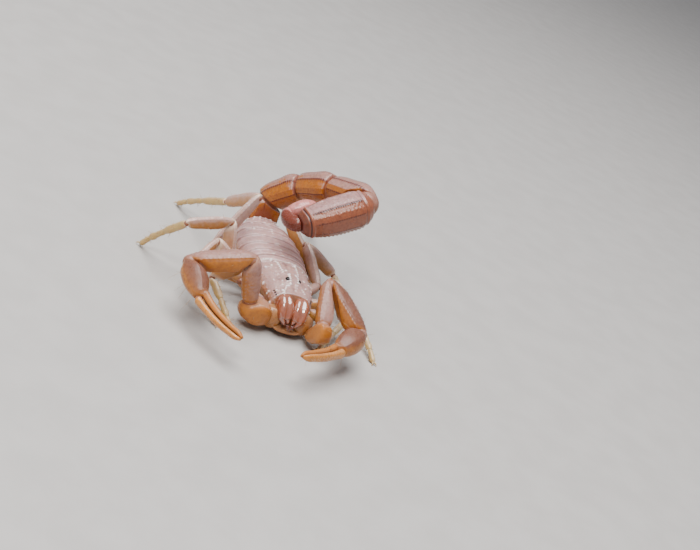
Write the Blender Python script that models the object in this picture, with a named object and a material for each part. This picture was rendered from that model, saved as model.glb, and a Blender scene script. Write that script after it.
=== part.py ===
"""A small thick-tailed scorpion at life size, standing with its tail curled over its back.

The head points to -Y, the animal's left is +X, the floor is z = 0, and the origin is on the floor
under the middle of the animal. Every length below is a share of the head shield's length, and y
counts backwards from the shield's front margin until the last step moves the origin. A limb is a
chain of segments, each turned by a yaw (0 ahead, 90 out to its own side, 180 behind) and a pitch (up
from level), in degrees. A shape lists sections as (share of the length, of the width, of the height).
"""
from math import copysign, cos, pi, radians, sin

import bmesh
import bpy
import numpy as np
from mathutils import Matrix, Vector

CARAPACE = 0.0054        # length of the head shield, in metres
GAP = 0.018              # clear space between neighbouring plates and segments
SIDES = 12               # corners round a limb or tail segment
PLATE_SIDES = 20         # corners round a body plate
LEFT, RIGHT = 1, -1

# The trunk, as (distance behind the front margin, value)
TRUNK_HALF_WIDTH = ((-0.30, 0.26), (-0.2, 0.35), (0.0, 0.37), (0.15, 0.42), (0.5, 0.49), (1.0, 0.57),
                    (1.6, 0.65), (2.2, 0.62), (2.7, 0.47), (2.93, 0.33))
TRUNK_TOP = ((0.0, 0.74), (0.4, 0.80), (1.0, 0.85), (1.7, 0.86), (2.4, 0.81), (2.93, 0.72))
TRUNK_SEAM = ((-0.30, 0.17), (-0.2, 0.21), (-0.1, 0.28), (0.0, 0.41), (0.12, 0.48), (0.5, 0.49),
              (1.5, 0.48), (2.4, 0.47), (2.93, 0.44))
TRUNK_BELLY = ((-0.30, 0.12), (-0.2, 0.11), (0.0, 0.12), (1.0, 0.19), (2.0, 0.20), (2.93, 0.24))
TRUNK_BEND = ((0.0, 0.0), (0.4, 0.0), (1.2, -0.07), (2.0, -0.08), (2.93, 0.0))   # sideways shift
TRUNK_END = 2.93
COXA_FRONT = -0.30                                           # how far the coxae reach forward
UNDERSIDE_SHARE = 0.86                                       # width of the belly under the plates
TERGITES = (0.15, 0.20, 0.25, 0.29, 0.32, 0.34, 0.38)        # lengths, front to back
STERNITES = (0.30, 0.32, 0.33, 0.33, 0.36)                   # the five belly plates, III to VII
PLATE_FLARE = 1.03                                           # a plate's rear edge stands out

EYE_RADIUS = 0.055
EYE_PLACE = (0.10, 0.40)                                     # from the midline, behind the margin
EYE_SINK = 0.4                                               # share of the radius that is sunk
SOCKET = 1.25                                                # socket radius for each eye radius
EYE_SIDES, EYE_RINGS = 10, 6

# The tail: length, width, height, share of the height above the axis, yaw, pitch
TAIL_ROOT = (0.0, TRUNK_END, 0.46)
TAIL = (
    (0.62, 0.58, 0.50, 0.42, 176, 62),
    (0.74, 0.60, 0.54, 0.42, 55, 47),
    (0.78, 0.60, 0.56, 0.42, 30, 30),
    (0.84, 0.60, 0.54, 0.42, 30, 15),
    (1.34, 0.66, 0.62, 0.30, -74, -27),
)
TWIST = -8                                                   # how far the last segment is rolled
CAP_END = 1.04                                               # where the last segment ends in its cap
NECK = (0.09, 0.175, 184)                                    # reach, half height, angle of the fold
NECK_THICK = (0.30, 0.22)
BULB = (0.56, 0.38, 0.32)                                    # length, width, height of the vesicle
BULB_SHAPE = ((0.12, 0.82), (0.4, 1.0), (0.7, 0.92), (0.92, 0.6))
BARB = (0.26, 12)                                            # length and curl of the spine
BARB_THICK = (0.12, 0.093)
ARC_STEPS = 4                                                # sections in each bend of the sting
TAIL_SQUARENESS = 2.7
TAIL_SHAPE = ((-0.3, 0.45, 0.45), (-0.12, 0.75, 0.75), (0.05, 0.88, 0.88), (0.5, 1, 0.98), (0.9, 0.98, 1),
              (1.1, 0.75, 0.75), (1.25, 0.4, 0.4))
BARREL_SHAPE = ((-0.06, 0.5, 0.5), (0.0, 0.72, 0.72), (0.12, 0.92, 0.92), (0.4, 1, 1), (0.75, 0.91, 0.9),
                (0.97, 0.72, 0.7), (1.0, 0.58, 0.56), (1.1, 0.5, 0.5))

# The mouthparts: length, width, height
CHELICERA = (0.43, 0.30, 0.30)
CHELICERA_ROOT = (0.16, 0.0, 0.60)
CHELICERA_TURN = (-7, -38)                                   # yaw, pitch
CHELICERA_SHAPE = ((-0.2, 0.8, 0.7), (0.15, 0.95, 0.9), (0.4, 1, 1), (0.62, 0.9, 0.85), (0.85, 0.55, 0.5),
                   (1, 0.3, 0.25))

# The combs under the belly: a bar with blunt teeth along its rear edge
COMB_ROOT = (0.09, 1.22, 0.13)
COMB_LENGTH, COMB_YAW = 0.62, 118
COMB_WIDTH, COMB_THICK = 0.10, 0.09
COMB_TEETH, TOOTH_LENGTH = 11, 0.09

# Pincer arms: length, width, height of each piece
ARM_ROOT = (0.34, -0.14, 0.25)
ARM = {"trochanter": (0.48, 0.44, 0.46), "femur": (0.92, 0.34, 0.32), "patella": (1.05, 0.38, 0.36),
       "palm": (0.74, 0.44, 0.42), "finger": (1.08, 0.11, 0.145)}
ARM_SHAPE = {
    "trochanter": ((-0.2, 0.4, 0.4), (0.1, 0.65, 0.65), (0.5, 1, 1), (0.9, 1, 0.98), (1.2, 0.8, 0.8),
                   (1.35, 0.4, 0.4)),
    "femur": ((-0.15, 0.6, 0.65), (0.0, 0.72, 0.75), (0.2, 0.85, 0.9), (0.7, 1, 1), (1.0, 0.85, 0.85),
              (1.12, 0.5, 0.5)),
    "patella": ((-0.12, 0.4, 0.4), (0.0, 0.62, 0.7), (0.2, 0.95, 0.95), (0.55, 1, 1), (0.9, 0.8, 0.85),
                (1.1, 0.45, 0.5)),
    "palm": ((-0.12, 0.3, 0.35), (0.0, 0.5, 0.6), (0.22, 0.92, 0.95), (0.45, 1, 1), (0.72, 0.86, 0.86),
             (0.93, 0.58, 0.62)),
    "finger": ((0.04, 1.25, 1.2), (0.25, 1.05, 1.1), (0.5, 0.95, 1.1), (0.75, 0.8, 1.0), (0.93, 0.65, 0.9),
               (1.0, 0.45, 0.65)),
}
SHOULDER = 0.12                                              # where the femur leaves the trochanter
FINGER_BOW = 0.05                                            # how far both fingers bow outward
ARM_POSE = {     # yaw and pitch
    RIGHT: {"trochanter": (83, 18), "femur": (88, 70), "patella": (96, -23), "palm": (-15, -17),
            "finger": (-34, -5)},
    LEFT: {"trochanter": (22, 27), "femur": (172, 37.5), "patella": (34, -21), "palm": (-43, -10),
           "finger": (-54, 3)},
}
HAND_TURN = {RIGHT: 45, LEFT: 0}                             # how far a hand's front side is raised

# Legs, front to back: root, then the lengths of trochanter, femur, patella, tibia, tarsus and foot
LEG_ROOT = (0.31, 0.60, 0.89, 1.26)                          # behind the front margin
LEG_ROOT_HEIGHT = 0.30
LEG_LENGTH = ((0.28, 0.68, 0.70, 0.43, 0.35, 0.29), (0.36, 0.82, 0.78, 0.48, 0.38, 0.28),
              (0.50, 0.92, 0.90, 0.62, 0.46, 0.32), (0.72, 1.18, 1.05, 0.80, 0.58, 0.37))
LEG_SIZE = {"hip": (0.16, 0.18), "femur": (0.12, 0.26), "patella": (0.13, 0.23), "tibia": (0.11, 0.14),
            "tarsus": (0.095, 0.11), "foot": (0.095, 0.11)}
LEG_SHAPE = {
    "hip": ((-0.2, 1, 1), (0.5, 1, 1)),
    "femur": ((0.12, 1, 0.75), (0.4, 1, 1), (0.85, 1, 0.95), (1.02, 0.9, 0.7), (1.1, 0.6, 0.45)),
    "patella": ((-0.1, 0.6, 0.45), (0.0, 0.9, 0.7), (0.15, 1, 0.95), (0.6, 1, 1), (0.95, 0.9, 0.75),
                (1.08, 0.6, 0.45)),
    "tibia": ((-0.08, 0.6, 0.5), (0.04, 1, 0.85), (0.4, 1, 1), (0.95, 0.95, 0.85)),
    "tarsus": ((0.08, 1, 1), (0.93, 0.95, 0.95)),
    "foot": ((0.15, 0.9, 0.9), (0.8, 0.95, 0.95), (1.15, 0.8, 0.8)),
}
FOOT_DROOP = (3, 8)                                          # how much tarsus and foot turn down
SHIN_PITCH = (60.0, -88.0)                                   # steepest shin pitches, up and down
HALVINGS = 30                                                # steps of the search for the shin pitch
FOOT_HEIGHT = 0.04                                           # middle of the foot's end above the floor
LEG_POSE = {     # trochanter yaw and pitch, femur yaw and pitch, patella yaw and pitch, shin yaw
    (RIGHT, 1): (74, 20, 81, 62, 101, -46, -24),
    (RIGHT, 2): (97, 18, 113, 36, 40, -25, -33),
    (RIGHT, 3): (97, 5, 135, 72, 72, -9, 157),
    (RIGHT, 4): (108, 21, 241, 60, 164, -35, 163),
    (LEFT, 1): (58, 18, 145, 49, 56, -55, -37),
    (LEFT, 2): (97, 14, 152, 12, 35, -15, 11),
    (LEFT, 3): (126, 21, 195, 24, 90, -29, 16),
    (LEFT, 4): (139, 4, 211, 27, 130, 1, 160),
}

COLOURS = {      # base colour, roughness
    "shell_top": ((0.42, 0.27, 0.21), 0.38),
    "shell_amber": ((0.50, 0.22, 0.06), 0.36),
    "leg_amber": ((0.52, 0.29, 0.13), 0.38),
    "leg_pale": ((0.72, 0.56, 0.26), 0.40),
    "tail_red": ((0.24, 0.07, 0.035), 0.34),
    "sting_pink": ((0.50, 0.25, 0.22), 0.32),
    "mouth_red": ((0.40, 0.16, 0.10), 0.30),
    "eye_black": ((0.01, 0.01, 0.012), 0.08),
}


def curve(knots, at):
    """A smooth curve through a few knots."""
    x, y = (np.array(column) for column in zip(*knots))
    slope = np.gradient(y, x)
    i = int(np.clip(np.searchsorted(x, at) - 1, 0, len(x) - 2))
    step = x[i + 1] - x[i]
    t = float(np.clip((at - x[i]) / step, 0, 1))
    return float(y[i] * (1 + 2 * t) * (1 - t) ** 2 + y[i + 1] * t * t * (3 - 2 * t)
                 + step * t * (1 - t) * (slope[i] * (1 - t) - slope[i + 1] * t))


class Segment:
    """A straight stretch of a limb: its root, its axis and the two directions across it."""

    def __init__(self, root, side, length, yaw, pitch):
        yaw, pitch = radians(yaw), radians(pitch)
        out = Vector((side * sin(yaw), -cos(yaw), 0))
        self.root, self.length, self.side = Vector(root), length, side
        self.axis = out * cos(pitch) + Vector((0, 0, sin(pitch)))
        self.up = Vector((0, 0, cos(pitch))) - out * sin(pitch)
        self.front = self.axis.cross(self.up) * side

    def face(self, direction):
        """Turn the segment about its axis until its upper side faces a direction."""
        self.up = (direction - self.axis * direction.dot(self.axis)).normalized()
        self.front = self.axis.cross(self.up) * self.side

    def turn(self, angle):
        """Turn the segment about its axis, front side upwards."""
        self.face(self.up * cos(radians(angle)) - self.front * sin(radians(angle)))

    def at(self, along, front=0.0, up=0.0):
        """A point: a share of the length along, and distances to the front and up."""
        return self.root + self.axis * along * self.length + self.front * front + self.up * up

    def ring(self, along, width, height, front=0.0, up=0.0):
        """A section of the given width and height, square to the axis."""
        return (self.at(along, front, up), self.front, self.up, width / 2, height / 2, height / 2)

    def rings(self, shape, size):
        """The sections of a shape, for a given greatest width and height."""
        width, height = size
        return [self.ring(along, width * w, height * h) for along, w, h in shape]


def loft(bm, rings, sides=SIDES, squareness=2.4):
    """A closed skin over a row of rings. Each is a centre, two directions across, a half width, and
    the heights above and below the centre; squareness 2 gives an ellipse, and more a rounded box."""
    loops = []
    for centre, across, up, half_width, above, below in rings:
        loop = bmesh.ops.create_circle(bm, segments=sides, radius=1.0)["verts"]
        for vert in loop:
            u, v = (copysign(abs(c) ** (2 / squareness), c) for c in vert.co.xy)
            vert.co = centre + across * half_width * u + up * (above if v > 0 else below) * v
        loops.append({edge for vert in loop for edge in vert.link_edges})
    for one, other in zip(loops, loops[1:]):
        bmesh.ops.bridge_loops(bm, edges=list(one | other))
    for end in (loops[0], loops[-1]):
        bmesh.ops.edgeloop_fill(bm, edges=list(end))


def cut(bm, point, outward):
    """Cut a shape with a plane and cap it; what lies on the outward side goes."""
    bmesh.ops.bisect_plane(bm, geom=bm.verts[:] + bm.edges[:] + bm.faces[:], dist=1e-6,
                           plane_co=point, plane_no=outward, clear_outer=True)
    bmesh.ops.holes_fill(bm, edges=[edge for edge in bm.edges if edge.is_boundary])


def mitre(bm, joint, own_axis, next_axis):
    """Cut a segment's end on the plane that halves its joint with the next one."""
    normal = (own_axis + next_axis).normalized()
    cut(bm, joint - normal * GAP / 2, normal)


def add(name, bm, colour):
    """Make one named object at real size from a mesh in shares of the head shield."""
    bmesh.ops.scale(bm, vec=(CARAPACE,) * 3, verts=bm.verts)
    bmesh.ops.recalc_face_normals(bm, faces=bm.faces)
    mesh = bpy.data.meshes.new(name)
    bm.to_mesh(mesh)
    bm.free()
    mesh.shade_smooth()
    mesh.set_sharp_from_angle(angle=radians(40))
    mesh.materials.append(material(colour))
    part = bpy.data.objects.new(name, mesh)
    bpy.context.collection.objects.link(part)
    return part


def material(colour):
    """The named Principled material, made the first time it is asked for."""
    if colour in bpy.data.materials:
        return bpy.data.materials[colour]
    base, roughness = COLOURS[colour]
    made = bpy.data.materials.new(colour)
    made.use_nodes = True
    shader = made.node_tree.nodes["Principled BSDF"]
    shader.inputs["Base Color"].default_value = (*base, 1)
    shader.inputs["Roughness"].default_value = roughness
    return made


def trunk_ring(y, share=1.0, upper=True):
    """A section of the trunk's upper plates, or of its underside."""
    seam, width = curve(TRUNK_SEAM, y), curve(TRUNK_HALF_WIDTH, y)
    if upper:
        height = (curve(TRUNK_TOP, y) - seam) * share
        centre, above, below = seam + GAP / 2, height, GAP / 4
    else:
        width *= UNDERSIDE_SHARE
        centre, above, below = seam - GAP / 2, GAP / 4, (seam - curve(TRUNK_BELLY, y)) * share
    return (Vector((curve(TRUNK_BEND, y), y, centre)), Vector((1, 0, 0)), Vector((0, 0, 1)), width * share,
            above, below)


def plates(name, start, lengths, upper, colour, first=1):
    """A row of plates across the trunk, each flared at its rear edge."""
    for number, length in enumerate(lengths, first):
        bm = bmesh.new()
        front, back = start + GAP / 2, start + length - GAP / 2
        loft(bm, (trunk_ring(front, 1, upper), trunk_ring(back - length * 0.25, 1, upper),
                  trunk_ring(back - GAP, PLATE_FLARE, upper), trunk_ring(back, 1, upper)), PLATE_SIDES)
        add(f"{name}_{number}", bm, colour)
        start += length


def head():
    """The head shield with its two eyes sunk in sockets, and the coxae under it."""
    bm = bmesh.new()
    loft(bm, [trunk_ring(y) for y in (0.0, 0.06, 0.2, 0.35, 0.5, 0.75, 1 - GAP / 2)], PLATE_SIDES)
    shield = add("carapace", bm, "shell_top")
    for side, label in ((LEFT, "left"), (RIGHT, "right")):
        x, y = EYE_PLACE
        centre = Vector((side * x, y, curve(TRUNK_TOP, y) - EYE_RADIUS * EYE_SINK))
        for what, radius in ((f"median_eye_{label}", EYE_RADIUS), (f"socket_{label}", EYE_RADIUS * SOCKET)):
            bm = bmesh.new()
            bmesh.ops.create_uvsphere(bm, u_segments=EYE_SIDES, v_segments=EYE_RINGS, radius=radius,
                                      matrix=Matrix.Translation(centre))
            made = add(what, bm, "eye_black")
        made.hide_render, made.display_type = True, "WIRE"
        socket = shield.modifiers.new(f"socket {label}", "BOOLEAN")
        socket.operation, socket.object, socket.solver = "DIFFERENCE", made, "EXACT"
    bm = bmesh.new()
    rear = TRUNK_END - sum(STERNITES) - GAP / 2
    stations = (COXA_FRONT, -0.2, -0.1, 0.0, 0.12, 0.5, 1.0, rear)
    loft(bm, [trunk_ring(y, upper=False) for y in stations], PLATE_SIDES)
    add("coxosternum", bm, "shell_amber")


def mouth():
    """A pair of stout chelicerae that point forward and down."""
    length, width, height = CHELICERA
    for side, label in ((LEFT, "left"), (RIGHT, "right")):
        x, y, z = CHELICERA_ROOT
        claw = Segment((side * x, y, z), side, length, *CHELICERA_TURN)
        bm = bmesh.new()
        loft(bm, claw.rings(CHELICERA_SHAPE, (width, height)))
        cut(bm, Vector((0, -GAP, 0)), Vector((0, 1, 0)))
        cut(bm, Vector((side * GAP / 2, 0, 0)), Vector((-side, 0, 0)))
        add(f"chelicera_{label}", bm, "mouth_red")


def pectines():
    """Two combs under the belly, each a bar with teeth along its rear edge."""
    x, y, z = COMB_ROOT
    for side, label in ((LEFT, "left"), (RIGHT, "right")):
        comb = Segment((side * x, y, z), side, COMB_LENGTH, COMB_YAW, 0)
        add(f"pectine_{label}", comb_mesh(comb), "shell_amber")


def comb_mesh(comb):
    """One comb: a strip of quads, every second one drawn out to a tooth, then given its thickness."""
    bm = bmesh.new()
    steps = 2 * COMB_TEETH + 1
    corners = [[bm.verts.new(comb.at(i / steps, front, COMB_THICK / 2)) for front in (0.0, -COMB_WIDTH)]
               for i in range(steps + 1)]
    for one, other in zip(corners, corners[1:]):
        bm.faces.new((one[0], other[0], other[1], one[1]))
    behind = [row[1] for row in corners]
    rear = [bm.edges.get(pair) for pair in zip(behind, behind[1:])]
    grown = bmesh.ops.extrude_edge_only(bm, edges=rear[1::2])["geom"]
    drag(bm, grown, -comb.front * TOOTH_LENGTH)
    grown = bmesh.ops.extrude_face_region(bm, geom=bm.faces[:])["geom"]
    drag(bm, grown, -comb.up * COMB_THICK)
    return bm


def drag(bm, geometry, shift):
    """Move the corners among some newly made geometry."""
    corners = [item for item in geometry if isinstance(item, bmesh.types.BMVert)]
    bmesh.ops.translate(bm, vec=shift, verts=corners)


def tail_chain():
    """The five tail segments as placed in space, upper sides to the inside of the curl."""
    chain, root = [], TAIL_ROOT
    for length, _, _, _, yaw, pitch in TAIL:
        chain.append(Segment(root, LEFT, length, yaw, pitch))
        root = chain[-1].at(1)
    axes = [Vector((0, 1, 0))] + [segment.axis for segment in chain]
    for segment, before, after in zip(chain, axes, axes[2:] + [-chain[-2].axis]):
        segment.face(after - before)
    last = chain[-1]
    last.face(Matrix.Rotation(radians(TWIST), 3, last.axis) @ last.up)
    return chain


def tail():
    """Five stout segments, the last barrel-shaped, and the sting."""
    chain = tail_chain()
    axes = [Vector((0, 1, 0))] + [segment.axis for segment in chain] + [chain[-1].axis]
    for i, segment in enumerate(chain):
        _, wide, high, top, *_ = TAIL[i]
        barrel = segment is chain[-1]
        bm = bmesh.new()
        loft(bm, [(segment.at(along), segment.front, segment.up, wide * w / 2, high * h * top,
                   high * h * (1 - top)) for along, w, h in (BARREL_SHAPE if barrel else TAIL_SHAPE)],
             squareness=TAIL_SQUARENESS)
        mitre(bm, segment.root, -segment.axis if i else -axes[0], -axes[i])
        mitre(bm, segment.at(CAP_END if barrel else 1), segment.axis, axes[i + 2])
        add(f"metasoma_{i + 1}", bm, "tail_red" if barrel else "shell_amber")
    bm = bmesh.new()
    loft(bm, sting_rings(chain[-1]))
    add("telson", bm, "sting_pink")


def arc_rings(start, axis, up, reach, rise, angle, thick):
    """Round sections along an oval arc that bends from an axis towards up, tapered between two widths."""
    rings = []
    for step in range(ARC_STEPS + 1):
        share = step / ARC_STEPS
        turn, half = radians(angle) * share, (thick[0] + (thick[1] - thick[0]) * share) / 2
        centre = start + axis * reach * sin(turn) + up * rise * (1 - cos(turn))
        rings.append((centre, axis.cross(up), up * cos(turn) - axis * sin(turn), half, half, half))
    return rings


def sting_rings(last):
    """The sting folded back over the last tail segment: a neck, a bulb and a curved spine."""
    reach, rise, fold = NECK
    start = last.at(CAP_END) + last.axis * GAP / 2
    rings = arc_rings(start, last.axis, last.up, reach, rise, fold, NECK_THICK)
    turn = radians(fold)
    axis = last.axis * cos(turn) + last.up * sin(turn)
    up = last.up * cos(turn) - last.axis * sin(turn)
    start, across = rings[-1][0], last.axis.cross(last.up)
    length, width, height = BULB
    for along, share in BULB_SHAPE:
        rings.append((start + axis * length * along, across, up, width * share / 2, height * share / 2,
                      height * share / 2))
    spine, curl = BARB
    radius = spine / radians(curl)
    return rings + arc_rings(start + axis * length, axis, -up, radius, radius, curl, BARB_THICK)


def arm(side, label):
    """One pincer arm: trochanter, femur and patella, then the hand."""
    chain, root = {}, Vector((side * ARM_ROOT[0], ARM_ROOT[1], ARM_ROOT[2]))
    for piece, (length, *_) in ARM.items():
        chain[piece] = Segment(root, side, length, *ARM_POSE[side][piece])
        root = chain[piece].at(1)
    trochanter, femur, patella, palm, finger = chain.values()
    for piece in (palm, finger):
        piece.turn(HAND_TURN[side])
    bm = arm_mesh(chain, "trochanter")
    cut(bm, trochanter.root, Vector((-side, 0, 0)))
    mitre(bm, femur.at(SHOULDER), femur.axis, femur.axis)
    add(f"pedipalp_trochanter_{label}", bm, "shell_top")
    bm = arm_mesh(chain, "femur")
    mitre(bm, femur.at(SHOULDER), -femur.axis, -femur.axis)
    mitre(bm, femur.at(1), femur.axis, patella.axis)
    add(f"pedipalp_femur_{label}", bm, "shell_top")
    bm = arm_mesh(chain, "patella")
    mitre(bm, patella.root, -patella.axis, -femur.axis)
    mitre(bm, patella.at(1), patella.axis, palm.axis)
    add(f"pedipalp_patella_{label}", bm, "shell_top")
    hand(chain, label)


def arm_mesh(chain, piece):
    """The uncut shape of one piece of an arm."""
    bm = bmesh.new()
    loft(bm, chain[piece].rings(ARM_SHAPE[piece], ARM[piece][1:]))
    return bm


def hand(chain, label):
    """The palm with its fixed finger, and the moving finger beside it."""
    palm, finger = chain["palm"], chain["finger"]
    _, thin, deep = ARM["finger"]
    spread = thin / 2 + GAP / 2

    def finger_rings(side):
        return [finger.ring(along, thin * w, deep * h, side * spread * w - FINGER_BOW * sin(pi * along))
                for along, w, h in ARM_SHAPE["finger"]]

    bm = bmesh.new()
    loft(bm, palm.rings(ARM_SHAPE["palm"], ARM["palm"][1:]) + finger_rings(1))
    mitre(bm, palm.root, -palm.axis, -chain["patella"].axis)
    add(f"pedipalp_palm_{label}", bm, "shell_top")
    bm = bmesh.new()
    loft(bm, finger_rings(-1))
    add(f"movable_finger_{label}", bm, "shell_amber")


def leg(side, number, label):
    """One leg: trochanter with femur, then patella, then the shin with its foot flat on the floor."""
    hip_yaw, hip_pitch, femur_yaw, femur_pitch, patella_yaw, patella_pitch, shin_yaw = LEG_POSE[side, number]
    trochanter, femur, patella, *shin_lengths = LEG_LENGTH[number - 1]
    y = LEG_ROOT[number - 1]
    flank = side * (curve(TRUNK_HALF_WIDTH, y) * UNDERSIDE_SHARE + GAP) + curve(TRUNK_BEND, y)
    hip = Segment((flank, y, LEG_ROOT_HEIGHT), side, trochanter, hip_yaw, hip_pitch)
    thigh = Segment(hip.at(1), side, femur, femur_yaw, femur_pitch)
    knee = Segment(thigh.at(1), side, patella, patella_yaw, patella_pitch)
    shin = shin_chain(knee.at(1), side, shin_yaw, shin_lengths)
    bm = leg_mesh(("hip", "femur"), (hip, thigh))
    cut(bm, hip.root, Vector((-side, 0, 0)))
    mitre(bm, thigh.at(1), thigh.axis, knee.axis)
    add(f"leg_{number}_femur_{label}", bm, "leg_amber")
    bm = leg_mesh(("patella",), (knee,))
    mitre(bm, knee.root, -knee.axis, -thigh.axis)
    mitre(bm, knee.at(1), knee.axis, shin[0].axis)
    add(f"leg_{number}_patella_{label}", bm, "leg_amber")
    bm = leg_mesh(("tibia", "tarsus", "foot"), shin)
    mitre(bm, shin[0].root, -shin[0].axis, -knee.axis)
    cut(bm, Vector((0, 0, 0)), Vector((0, 0, -1)))
    add(f"leg_{number}_tarsus_{label}", bm, "leg_pale")


def leg_mesh(names, segments):
    """One skin over the sections of a few leg joints in a row."""
    bm = bmesh.new()
    loft(bm, [ring for name, segment in zip(names, segments)
              for ring in segment.rings(LEG_SHAPE[name], LEG_SIZE[name])])
    return bm


def shin_chain(root, side, yaw, lengths):
    """Tibia, tarsus and foot, turned down as far as brings the foot to the floor."""
    def chain(pitch):
        made, start = [], root
        for length, droop in zip(lengths, (0, *FOOT_DROOP)):
            made.append(Segment(start, side, length, yaw, max(pitch - droop, SHIN_PITCH[1])))
            start = made[-1].at(1)
        return made
    high, low = SHIN_PITCH
    for _ in range(HALVINGS):
        middle = (high + low) / 2
        if chain(middle)[-1].at(1).z > FOOT_HEIGHT:
            high = middle
        else:
            low = middle
    return chain(low)


def centre():
    """Move everything so that the origin lies on the floor under the middle of the animal."""
    bpy.context.view_layer.update()
    parts = [part for part in bpy.data.objects if not part.hide_render]
    x, y = np.array([vert.co.xy for part in parts for vert in part.data.vertices]).T
    middle = Vector(((x.min() + x.max()) / 2, (y.min() + y.max()) / 2, 0))
    for part in bpy.data.objects:
        part.data.transform(Matrix.Translation(-middle))


for old in list(bpy.data.objects):
    bpy.data.objects.remove(old, do_unlink=True)
head()
plates("tergite", 1.0, TERGITES, True, "shell_top")
plates("sternite", TRUNK_END - sum(STERNITES), STERNITES, False, "shell_amber", 3)
mouth()
pectines()
tail()
for one_side, one_label in ((LEFT, "left"), (RIGHT, "right")):
    arm(one_side, one_label)
    for which in (1, 2, 3, 4):
        leg(one_side, which, one_label)
centre()
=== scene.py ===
"""A small thick-tailed scorpion at life size, standing with its tail curled over its back.

The head points to -Y, the animal's left is +X, and the floor is z = 0. Lengths are shares of the
head shield's length until fit() brings a piece to its real size. Angles are in degrees.
"""

import random
from bisect import bisect_right
from math import cos, copysign, exp, pi, radians, sin, sqrt

import bmesh
import bpy
import numpy as np
from mathutils import Matrix, Quaternion, Vector, noise


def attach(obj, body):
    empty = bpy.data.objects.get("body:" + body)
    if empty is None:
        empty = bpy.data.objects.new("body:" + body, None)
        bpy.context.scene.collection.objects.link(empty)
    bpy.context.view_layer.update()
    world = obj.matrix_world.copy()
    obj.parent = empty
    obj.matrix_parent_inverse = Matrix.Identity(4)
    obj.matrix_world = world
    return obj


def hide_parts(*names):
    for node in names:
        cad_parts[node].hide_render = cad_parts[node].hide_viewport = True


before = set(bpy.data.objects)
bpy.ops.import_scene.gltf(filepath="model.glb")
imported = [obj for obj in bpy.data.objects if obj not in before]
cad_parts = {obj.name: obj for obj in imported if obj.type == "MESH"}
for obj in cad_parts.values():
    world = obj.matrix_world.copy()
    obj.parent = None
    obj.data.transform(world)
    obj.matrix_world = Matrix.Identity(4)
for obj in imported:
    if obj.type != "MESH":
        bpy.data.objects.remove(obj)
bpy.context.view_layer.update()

# --- Floor, lights and camera ------------
# A wide sheet of pale matt card under one very large soft light, with a smaller, brighter one that
# puts the highlights on the mouthparts. The camera looks down on the head from ahead and to the
# right, rolled to one side.

class Value:
    """A number that varies over a surface. Sums and products of values add their own Math nodes."""

    def __init__(self, finish, socket):
        self.finish, self.socket = finish, socket

    def _math(self, operation, one, other):
        made = self.finish.node("ShaderNodeMath", {"operation": operation}, {0: one, 1: other})
        return Value(self.finish, made.outputs[0])

    def __add__(self, other):
        return self._math("ADD", self, other)

    def __sub__(self, other):
        return self._math("SUBTRACT", self, other)

    def __rsub__(self, other):
        return self._math("SUBTRACT", other, self)

    def __mul__(self, other):
        return self._math("MULTIPLY", self, other)

    __radd__, __rmul__ = __add__, __mul__

    def step(self, low, high):
        """0 below one limit, 1 above the other, and a smooth rise between them."""
        made = self.finish.node("ShaderNodeMapRange", {"interpolation_type": "SMOOTHSTEP"},
                                {"Value": self, "From Min": low, "From Max": high})
        return Value(self.finish, made.outputs["Result"])


class Finish:
    """A node material in the making. Constants go straight on the shader's sockets."""

    def __init__(self, name, **constants):
        self.material = bpy.data.materials.new(name)
        self.material.use_nodes = True
        self.tree = self.material.node_tree
        self.shader = self.tree.nodes["Principled BSDF"]
        for socket, value in constants.items():
            self.feed(self.shader.inputs[socket.replace("_", " ")], value)
        self.place = self.node("ShaderNodeTexCoord").outputs["Object"]

    def feed(self, socket, value):
        value = value.socket if isinstance(value, Value) else value
        if isinstance(value, bpy.types.NodeSocket):
            self.tree.links.new(value, socket)
        else:
            socket.default_value = value

    def node(self, kind, settings=None, sockets=None):
        made = self.tree.nodes.new(kind)
        for setting, value in (settings or {}).items():
            setattr(made, setting, value)
        for socket, value in (sockets or {}).items():
            self.feed(made.inputs[socket], value)
        return made

    def noise(self, size, detail=3.0):
        """Soft random patches of about a given size in metres, as a value from 0 to 1."""
        made = self.node("ShaderNodeTexNoise", {},
                         {"Vector": self.place, "Scale": 1 / size, "Detail": detail})
        return Value(self, made.outputs["Fac"])

    def cells(self, size):
        """Distance from the nearest of many scattered points, in shares of their spacing."""
        made = self.node("ShaderNodeTexVoronoi", {}, {"Vector": self.place, "Scale": 1 / size})
        return Value(self, made.outputs["Distance"])

    def mark(self, name):
        """A value that the mesh carries."""
        return Value(self, self.node("ShaderNodeAttribute", {"attribute_name": name}).outputs["Fac"])

    def mix(self, share, one, other):
        """A colour on the way from one to the other."""
        return self.node("ShaderNodeMix", {"data_type": "RGBA"}, {0: share, 6: one, 7: other}).outputs[2]

    def bump(self, height, depth):
        """Relief of a height from 0 to 1 and a depth in metres."""
        made = self.node("ShaderNodeBump", {}, {"Height": height, "Distance": depth})
        self.feed(self.shader.inputs["Normal"], made.outputs["Normal"])


def mottled(name, patches, dark, light, grain, depth, **constants):
    """A plain finish in soft patches of two tones, with a fine grain of a given depth in metres."""
    made = Finish(name, **constants)
    colour = made.mix(made.noise(patches).step(0.3, 0.7), (*dark, 1), (*light, 1))
    made.feed(made.shader.inputs["Base Color"], colour)
    made.bump(made.noise(grain), depth)
    return made.material


FLOOR_SIZE = 3.0
FLOOR_DROP = 0.00001  # clear space between the card and the feet
card = mottled("floor_card", 0.004, (0.46, 0.445, 0.43), (0.49, 0.475, 0.46), 0.0006, 0.00002,
               Roughness=0.85)
bm = bmesh.new()
bmesh.ops.create_grid(bm, x_segments=2, y_segments=2, size=FLOOR_SIZE / 2,
                      matrix=Matrix.Translation((0, 0, -FLOOR_DROP)))
mesh = bpy.data.meshes.new("floor")
bm.to_mesh(mesh)
bm.free()
mesh.materials.append(card)
floor = bpy.data.objects.new("floor", mesh)
bpy.context.collection.objects.link(floor)

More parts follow.
